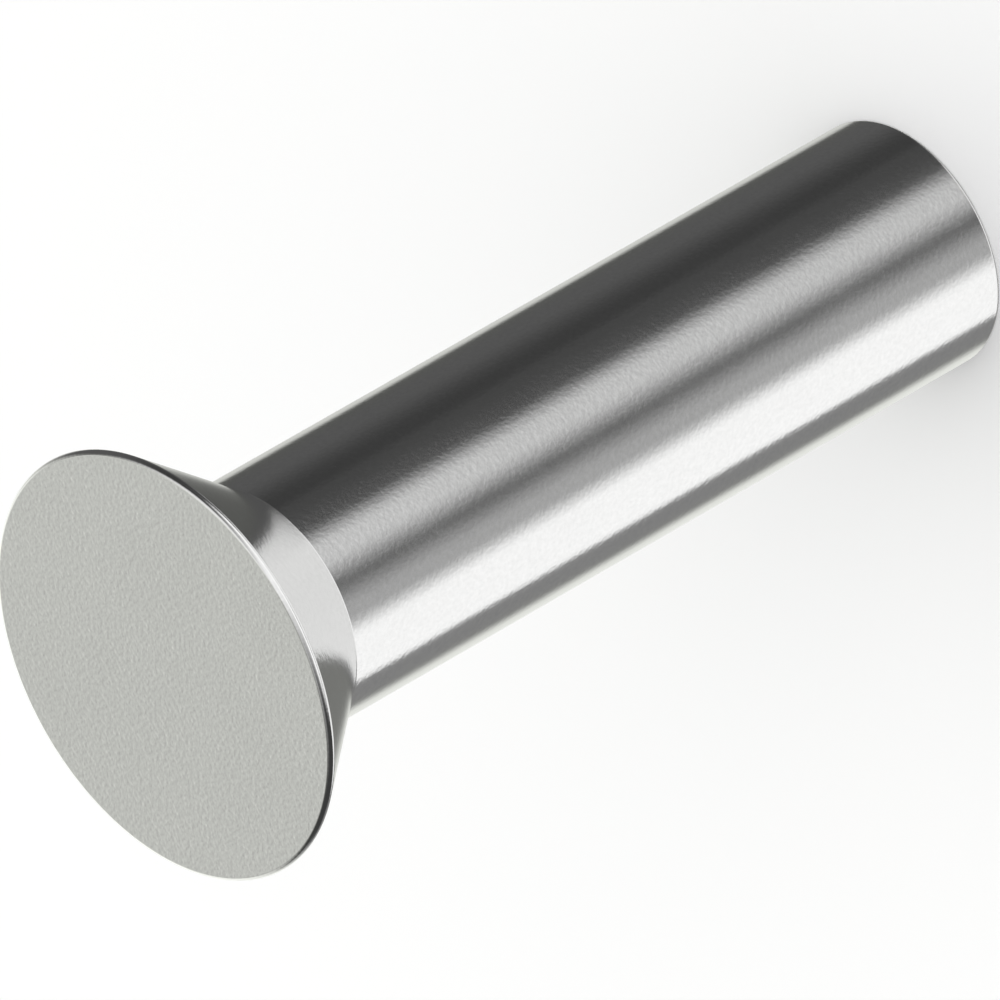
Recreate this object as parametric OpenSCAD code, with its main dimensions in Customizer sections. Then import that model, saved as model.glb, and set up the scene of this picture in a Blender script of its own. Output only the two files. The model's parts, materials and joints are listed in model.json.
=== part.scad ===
// Solid rivet with a flat countersunk head, one turned piece.
// It stands on its plain end with the head up, along +Z, and its origin is the centre of that end.

/* [Shank] */
// Diameter of the plain round shank
shank_d = 4; // [2:0.1:6]
// Length over all, from the plain end to the flat face of the head
length = 15.62; // [6:0.02:40]
// Radius that breaks the edge of the plain end
tail_r = 0.05; // [0.02:0.01:0.4]

/* [Head] */
// Diameter of the head over its rounded rim
head_d = 6.9; // [5:0.02:10]
// Full angle of the cone under the head
cone_angle = 74; // [60:1:120]
// Radius that rounds the rim between the flat face and the cone
rim_r = 0.07; // [0.02:0.01:0.4]
// Radius that fills the corner between the cone and the shank
neck_r = 0.05; // [0.02:0.01:0.4]

/* [Hidden] */
$fn = 128;
steel = [0.74, 0.74, 0.73];
// Straight steps that make up each rounded corner of the section
arc_steps = 8;

shank_r = shank_d / 2;
half_angle = cone_angle / 2;

// The section's three rounded corners, as centres at [radius, height]
tail_centre = [shank_r - tail_r, tail_r];
rim_centre = [head_d / 2 - rim_r, length - rim_r];
// The cone leaves the rim at its lower tangent point and meets the neck's fillet at its upper one
cone_normal = [cos(half_angle), -sin(half_angle)];
cone_top = rim_centre + rim_r * cone_normal;
cone_foot_r = shank_r + neck_r * (1 - cos(half_angle));
cone_foot = [cone_foot_r, cone_top.y - (cone_top.x - cone_foot_r) / tan(half_angle)];
neck_centre = cone_foot + neck_r * cone_normal;

// Points along an arc, angles in degrees from the outward radius
function arc(centre, radius, from, to) = [
    for (i = [0 : arc_steps])
        let (angle = from + (to - from) * i / arc_steps)
        centre + radius * [cos(angle), sin(angle)]
];

// Half of the section through the axis, from the plain end up to the flat face
module half_section() {
    polygon(concat(
        [[0, 0]],
        arc(tail_centre, tail_r, -90, 0),
        arc(neck_centre, neck_r, 180, 180 - half_angle),
        arc(rim_centre, rim_r, -half_angle, 90),
        [[0, length]]
    ));
}

module rivet() {
    color(steel)
        rotate_extrude()
            half_section();
}

rivet();
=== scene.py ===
"""A solid rivet with a flat countersunk head, standing on its plain end in a small photo studio."""

import json
import math
from collections import namedtuple

import bpy
from mathutils import Matrix, Vector


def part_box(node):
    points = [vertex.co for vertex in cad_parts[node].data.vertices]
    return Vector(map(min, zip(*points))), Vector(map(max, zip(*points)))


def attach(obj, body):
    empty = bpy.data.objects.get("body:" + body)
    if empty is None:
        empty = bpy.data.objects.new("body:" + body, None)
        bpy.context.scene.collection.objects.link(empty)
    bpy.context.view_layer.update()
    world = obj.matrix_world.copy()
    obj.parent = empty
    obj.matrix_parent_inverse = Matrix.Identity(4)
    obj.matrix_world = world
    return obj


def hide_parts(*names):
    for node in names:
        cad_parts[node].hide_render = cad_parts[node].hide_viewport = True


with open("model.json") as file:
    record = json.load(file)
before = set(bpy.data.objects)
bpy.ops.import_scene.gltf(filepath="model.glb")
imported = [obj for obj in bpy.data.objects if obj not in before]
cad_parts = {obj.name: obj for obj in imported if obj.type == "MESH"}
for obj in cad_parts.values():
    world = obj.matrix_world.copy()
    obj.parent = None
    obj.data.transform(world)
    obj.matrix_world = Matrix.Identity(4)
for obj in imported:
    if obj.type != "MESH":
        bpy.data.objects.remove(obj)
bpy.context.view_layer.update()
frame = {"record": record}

MM = 0.001

# Section of the rivet. The head, the length and the shank come from the frame.
CONE_HALF_ANGLE = math.radians(74) / 2
RIM_R = 0.07 * MM
NECK_R = 0.05 * MM
TAIL_R = 0.05 * MM

# Fineness of the turned mesh
SEGMENTS = 288
ARC_STEPS = 12
FACE_RINGS = 6
SHANK_RINGS = 12
CONE_RINGS = 4
FLOOR_SEGMENTS = 96

# Material slots of the mesh
TURNED_SLOT = 0
END_SLOT = 1

# Camera, as the photograph was taken, with its lens in millimetres
CAMERA_ELEVATION = math.radians(36.2)
CAMERA_DISTANCE = 533.5 * MM
CAMERA_AIM = Vector((-0.333, 0.0, 8.805)) * MM
CAMERA_ROLL = math.radians(-119.85)
CAMERA_LENS = 1299.6
CLIP_START = 10 * MM
CLIP_END = 10.0

# Steel, with broad patches of another shade and gloss
STEEL = (0.77, 0.77, 0.765)
PATCH = 1.5 * MM
PATCH_SHADE = 0.02
PATCH_GLOSS = 0.1
PATCH_DETAIL = 2.0
GRAIN_DETAIL = 1.0

# Finish of the turned surfaces and of the flat ends: roughness, and the grain's length, height and shade
Finish = namedtuple("Finish", "roughness grain height shade")
TURNED = Finish(0.12, 0.07 * MM, 0.0015 * MM, 0.065)
FLAT = Finish(0.2, 0.07 * MM, 0.0047 * MM, 0.08)

# Floor, whose far edge is turned up in two steps, each so far out and up in shares of the edge
FLOOR_R = 3.0
FLOOR_EDGE = 0.15
FLOOR_STEPS = ((0.0, 0.0), (1.0, 0.3), (1.3, 1.0))
FLOOR_COLOUR = (0.93, 0.93, 0.93)

# The floor's overhead lamp
LAMP_ANGLE = math.radians(120)
LAMP_STRENGTH = 1.84

# The studio round the rivet: panels by compass and height, in degrees, laid over each other in this order.
# Azimuth 0 is the camera's side, +90 is +X, and behind the rivet it goes on past 180.
# The soft values are half the widths of a panel's edges, and a side with no softness is open.
Panel = namedtuple("Panel", "name start end start_soft end_soft low high low_soft high_soft light")
FULL_TURN = 360
DARK = 0.055
PANELS = (
    Panel("right shade", 98, 152, 18, 4, -41, 45, 3, 18, 0.11),
    Panel("right gap", 30, 71, 5, 5, -58, 10, 4, 10, 0.074),
    Panel("low right", 62, 192, 6, 6, -90, -41, 0, 3, 0.11),
    Panel("left grey", 169.5, 255, 8, 4, -90, -15, 0, 12, 0.263),
    Panel("low left", 169.5, 260, 8, 4, -90, -43, 0, 3, 0.21),
    Panel("front grey", -58, 10, 6, 10, -90, -30, 0, 15, 0.14),
    Panel("front half light", -58, -24, 6, 13, -90, -30, 0, 15, 0.52),
    Panel("front edge", -2, 31.8, 14, 11.3, -38, 20, 15, 10, 1.09),
    Panel("left strip", -107, -52, 3.5, 10, -60, -29, 3, 4, 1.2),
    Panel("front low", -48, 51.5, 15, 9, -31.5, 9, 1.5, 12, 1.25),
    Panel("overhead", -180, 180, 0, 0, 76, 90, 34, 0, 0.97),
    Panel("front", -23, 38, 42, 26, 10, 90, 12, 0, 1.15),
    Panel("right overhead", 55, 172, 20, 14, 48, 90, 17, 0, 1.0),
    Panel("back", 149, 208, 18, 10, -30, 30, 3, 8, 1.2),
    Panel("back left", 195, 222, 10, 22, -30, 12, 3, 10, 1.1),
    Panel("back low right", 150.5, 190, 6, 6, -43.1, -29, 5, 3, 0.685),
    Panel("back low left", 182, 216, 6, 10, -43.4, -29, 7, 3, 0.88),
    Panel("back face", 160, 190, 12, 22, 30, 62, 8, 14, 0.757),
    Panel("low left white", 231, 262, 10, 8, -90, -60, 0, 5, 1.08),
    Panel("low front white", -117, 46, 7.5, 9, -90, -41.5, 0, 1.5, 1.08),
    Panel("low right white", 30, 98.5, 10, 6, -90, -59.7, 0, 10, 1.08),
)

# The light from behind, between two azimuths with soft edges, is a little olive
WHITE = (1.0, 1.0, 1.0)
BACK_TINT = (0.995, 1.007, 0.957)
BACK_START, BACK_END, BACK_SOFT = 135, 225, 12

# Sockets of the Mix node by number, since those for numbers and for colours share their names
MIX_FACTOR = 0
MIX_NUMBERS = (2, 3)
MIX_COLOURS = (6, 7)
MIX_NUMBER_OUT = 0
MIX_COLOUR_OUT = 2


# Node helpers

def feed(tree, socket, value):
    """Links a socket to another one, or sets it to a plain value."""
    if isinstance(value, bpy.types.NodeSocket):
        tree.links.new(value, socket)
    else:
        socket.default_value = value


def math_node(tree, operation, *values):
    node = tree.nodes.new("ShaderNodeMath")
    node.operation = operation
    for socket, value in zip(node.inputs, values):
        feed(tree, socket, value)
    return node.outputs[0]


def smooth_step(tree, value, edge, soft, first, last):
    """Goes from the first value to the last one across a soft edge."""
    node = tree.nodes.new("ShaderNodeMapRange")
    node.interpolation_type = "SMOOTHSTEP"
    feed(tree, node.inputs["Value"], value)
    node.inputs["From Min"].default_value = edge - soft
    node.inputs["From Max"].default_value = edge + soft
    node.inputs["To Min"].default_value = first
    node.inputs["To Max"].default_value = last
    return node.outputs["Result"]


def mix_number(tree, factor, first, second):
    node = tree.nodes.new("ShaderNodeMix")
    feed(tree, node.inputs[MIX_FACTOR], factor)
    for socket, value in zip(MIX_NUMBERS, (first, second)):
        feed(tree, node.inputs[socket], value)
    return node.outputs[MIX_NUMBER_OUT]


def mix_colour(tree, factor, first, second):
    node = tree.nodes.new("ShaderNodeMix")
    node.data_type = "RGBA"
    feed(tree, node.inputs[MIX_FACTOR], factor)
    for socket, value in zip(MIX_COLOURS, (first, second)):
        feed(tree, node.inputs[socket], value)
    return node.outputs[MIX_COLOUR_OUT]


def opaque(colour):
    return (*colour, 1.0)


# The rivet's mesh

def arc(centre, radius, start, end):
    """Points of an arc, each with its outward normal, both as (radius, height)."""
    points = []
    for step in range(ARC_STEPS + 1):
        angle = start + (end - start) * step / ARC_STEPS
        normal = Vector((math.cos(angle), math.sin(angle)))
        points.append((centre + radius * normal, normal))
    return points


def between(first, last, rings):
    """Points spread evenly inside a straight stretch of the section, with the first end's normal."""
    points = []
    for ring in range(1, rings):
        share = ring / rings
        points.append((first[0].lerp(last[0], share), first[1]))
    return points


def section(head_r, shank_r, length):
    """The half section from the plain end's centre to the flat face's centre, with its normals."""
    down = Vector((0, -1))
    up = Vector((0, 1))
    cone_normal = Vector((math.cos(CONE_HALF_ANGLE), -math.sin(CONE_HALF_ANGLE)))
    rim_centre = Vector((head_r - RIM_R, length - RIM_R))
    cone_top = rim_centre + RIM_R * cone_normal
    foot_r = shank_r + NECK_R * (1 - math.cos(CONE_HALF_ANGLE))
    cone_foot = Vector((foot_r, cone_top.y - (cone_top.x - foot_r) / math.tan(CONE_HALF_ANGLE)))
    neck_centre = cone_foot + NECK_R * cone_normal

    tail = arc(Vector((shank_r - TAIL_R, TAIL_R)), TAIL_R, -math.pi / 2, 0)
    hollow = arc(neck_centre, NECK_R, math.pi, math.pi - CONE_HALF_ANGLE)
    neck = [(point, -normal) for point, normal in hollow]
    rim = arc(rim_centre, RIM_R, -CONE_HALF_ANGLE, math.pi / 2)
    end_centre = (Vector((0, 0)), down)
    face_centre = (Vector((0, length)), up)
    return [
        ("end", between(end_centre, tail[0], FACE_RINGS)),
        ("turned", tail),
        ("turned", between(tail[-1], neck[0], SHANK_RINGS)),
        ("turned", neck),
        ("turned", between(neck[-1], rim[0], CONE_RINGS)),
        ("turned", rim),
        ("end", between(rim[-1], face_centre, FACE_RINGS)),
    ]


def lathe(name, stretches, length, materials):
    """Turns the section about Z into one closed mesh with true normals."""
    rings = [(kind, point, normal) for kind, points in stretches for point, normal in points]
    vertices = [Vector((0, 0, 0))]
    normals = [Vector((0, 0, -1))]
    for _, point, normal in rings:
        for segment in range(SEGMENTS):
            angle = 2 * math.pi * segment / SEGMENTS
            around = Vector((math.cos(angle), math.sin(angle), 0))
            vertices.append(point.x * around + Vector((0, 0, point.y)))
            normals.append(normal.x * around + Vector((0, 0, normal.y)))
    vertices.append(Vector((0, 0, length)))
    normals.append(Vector((0, 0, 1)))

    faces = []
    slots = []
    last = len(vertices) - 1
    for segment in range(SEGMENTS):
        following = (segment + 1) % SEGMENTS
        faces.append((0, 1 + following, 1 + segment))
        slots.append(END_SLOT)
        for ring in range(len(rings) - 1):
            low = 1 + ring * SEGMENTS
            high = low + SEGMENTS
            faces.append((low + segment, low + following, high + following, high + segment))
            flat = "end" in (rings[ring][0], rings[ring + 1][0])
            slots.append(END_SLOT if flat else TURNED_SLOT)
        top = last - SEGMENTS
        faces.append((top + segment, top + following, last))
        slots.append(END_SLOT)

    mesh = bpy.data.meshes.new(name)
    mesh.from_pydata(vertices, [], faces)
    for material in materials:
        mesh.materials.append(material)
    mesh.polygons.foreach_set("material_index", slots)
    mesh.polygons.foreach_set("use_smooth", [True] * len(faces))
    mesh.normals_split_custom_set_from_vertices(normals)
    mesh.update()
    piece = bpy.data.objects.new(name, mesh)
    bpy.context.scene.collection.objects.link(piece)
    return piece


# Materials

def noise(tree, size, detail):
    """Noise over the surface, with bumps of a size."""
    place = tree.nodes.new("ShaderNodeTexCoord")
    node = tree.nodes.new("ShaderNodeTexNoise")
    node.inputs["Scale"].default_value = 1 / size
    node.inputs["Detail"].default_value = detail
    tree.links.new(place.outputs["Object"], node.inputs["Vector"])
    return node.outputs["Fac"]


def shade(amount):
    """The steel's colour, made lighter or darker by a share."""
    return opaque([channel * (1 + amount) for channel in STEEL])


def steel(name, finish):
    """Bright steel with a fine grain of bumps and shade, and broad patches of another shade and gloss."""
    material = bpy.data.materials.new(name)
    material.use_nodes = True
    tree = material.node_tree
    shader = tree.nodes["Principled BSDF"]
    shader.inputs["Metallic"].default_value = 1.0
    patches = noise(tree, PATCH, PATCH_DETAIL)
    grain = noise(tree, finish.grain, GRAIN_DETAIL)
    low = mix_colour(tree, patches, shade(-finish.shade - PATCH_SHADE), shade(-finish.shade + PATCH_SHADE))
    high = mix_colour(tree, patches, shade(finish.shade - PATCH_SHADE), shade(finish.shade + PATCH_SHADE))
    feed(tree, shader.inputs["Base Color"], mix_colour(tree, grain, low, high))
    least = (1 - PATCH_GLOSS) * finish.roughness
    gloss = math_node(tree, "MULTIPLY_ADD", patches, 2 * PATCH_GLOSS * finish.roughness, least)
    feed(tree, shader.inputs["Roughness"], gloss)
    bump = tree.nodes.new("ShaderNodeBump")
    bump.inputs["Strength"].default_value = 1.0
    bump.inputs["Distance"].default_value = finish.height
    feed(tree, bump.inputs["Height"], grain)
    feed(tree, shader.inputs["Normal"], bump.outputs["Normal"])
    return material


def plain(name, colour):
    material = bpy.data.materials.new(name)
    material.use_nodes = True
    shader = material.node_tree.nodes["Principled BSDF"]
    shader.inputs["Base Color"].default_value = opaque(colour)
    shader.inputs["Roughness"].default_value = 1.0
    shader.inputs["Specular IOR Level"].default_value = 0.0
    return material


# The studio

def band(tree, value, low, high, low_soft, high_soft):
    """One inside low to high, falling to nothing across each soft edge."""
    if not low_soft:
        return smooth_step(tree, value, high, high_soft, 1.0, 0.0)
    rise = smooth_step(tree, value, low, low_soft, 0.0, 1.0)
    if not high_soft:
        return rise
    return math_node(tree, "SUBTRACT", rise, smooth_step(tree, value, high, high_soft, 0.0, 1.0))


def studio():
    """Lights the rivet by panels and dark gaps all round it."""
    world = bpy.data.worlds.new("studio")
    bpy.context.scene.world = world
    world.use_nodes = True
    tree = world.node_tree
    place = tree.nodes.new("ShaderNodeTexCoord")
    split = tree.nodes.new("ShaderNodeSeparateXYZ")
    tree.links.new(place.outputs["Generated"], split.inputs[0])
    nearer = math_node(tree, "MULTIPLY", split.outputs["Y"], -1.0)
    azimuth = math_node(tree, "DEGREES", math_node(tree, "ARCTAN2", split.outputs["X"], nearer))
    behind = math_node(tree, "WRAP", azimuth, FULL_TURN, 0.0)
    height = math_node(tree, "DEGREES", math_node(tree, "ARCSINE", split.outputs["Z"]))

    light = DARK
    for panel in PANELS:
        mask = band(tree, height, panel.low, panel.high, panel.low_soft, panel.high_soft)
        if panel.end - panel.start < FULL_TURN:
            way = behind if panel.end > FULL_TURN / 2 else azimuth
            across = band(tree, way, panel.start, panel.end, panel.start_soft, panel.end_soft)
            mask = math_node(tree, "MULTIPLY", mask, across)
        light = mix_number(tree, mask, light, panel.light)
    back = band(tree, behind, BACK_START, BACK_END, BACK_SOFT, BACK_SOFT)
    background = tree.nodes["Background"]
    feed(tree, background.inputs["Color"], mix_colour(tree, back, opaque(WHITE), opaque(BACK_TINT)))
    feed(tree, background.inputs["Strength"], light)


def floor():
    """A wide pale disc with its edge turned up, so that low views have a backdrop."""
    outline = [(FLOOR_R + out * FLOOR_EDGE, up * FLOOR_EDGE) for out, up in FLOOR_STEPS]
    vertices = [(0.0, 0.0, 0.0)]
    for radius, height in outline:
        for segment in range(FLOOR_SEGMENTS):
            angle = 2 * math.pi * segment / FLOOR_SEGMENTS
            vertices.append((radius * math.cos(angle), radius * math.sin(angle), height))
    faces = []
    for segment in range(FLOOR_SEGMENTS):
        following = (segment + 1) % FLOOR_SEGMENTS
        faces.append((0, 1 + segment, 1 + following))
        for ring in range(len(outline) - 1):
            inner = 1 + ring * FLOOR_SEGMENTS
            outer = inner + FLOOR_SEGMENTS
            faces.append((inner + segment, outer + segment, outer + following, inner + following))
    mesh = bpy.data.meshes.new("floor")
    mesh.from_pydata(vertices, [], faces)
    mesh.materials.append(plain("floor", FLOOR_COLOUR))
    piece = bpy.data.objects.new("floor", mesh)
    bpy.context.scene.collection.objects.link(piece)
    # The steel mirrors the studio's panels, which go on below the floor's level
    piece.visible_glossy = False


def aimed(place, target, roll=0.0):
    """A matrix at a place, looking at a target, turned about the line of sight."""
    turn = (target - place).to_track_quat("-Z", "Y").to_matrix().to_4x4()
    return Matrix.Translation(place) @ turn @ Matrix.Rotation(roll, 4, "Z")


def lamp():
    """A wide soft lamp overhead, which lights the floor and isn't mirrored."""
    data = bpy.data.lights.new("overhead", "SUN")
    data.angle = LAMP_ANGLE
    data.energy = LAMP_STRENGTH
    light = bpy.data.objects.new("overhead", data)
    light.visible_glossy = False
    bpy.context.scene.collection.objects.link(light)


def camera(middle):
    data = bpy.data.cameras.new("camera")
    data.lens = CAMERA_LENS
    data.clip_start = CLIP_START
    data.clip_end = CLIP_END
    eye = bpy.data.objects.new("camera", data)
    back = Vector((0, -math.cos(CAMERA_ELEVATION), math.sin(CAMERA_ELEVATION)))
    place = middle + CAMERA_DISTANCE * back
    eye.matrix_world = aimed(place, CAMERA_AIM, CAMERA_ROLL)
    bpy.context.scene.collection.objects.link(eye)
    bpy.context.scene.camera = eye


# The scene

low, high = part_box("rivet")
shank = next(mount for mount in frame["record"]["mounts"] if mount["name"] == "shank")
head_r = max(high.x, high.y)
shank_r = shank["dims"]["r_mm"] * MM
length = high.z - low.z

steels = (steel("turned_steel", TURNED), steel("flat_steel", FLAT))
rivet = lathe("rivet_steel", section(head_r, shank_r, length), length, steels)
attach(rivet, "root")
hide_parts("rivet")

middle = Vector((0, 0, length / 2))
floor()
studio()
lamp()
camera(middle)
bpy.context.scene.view_settings.view_transform = "Standard"
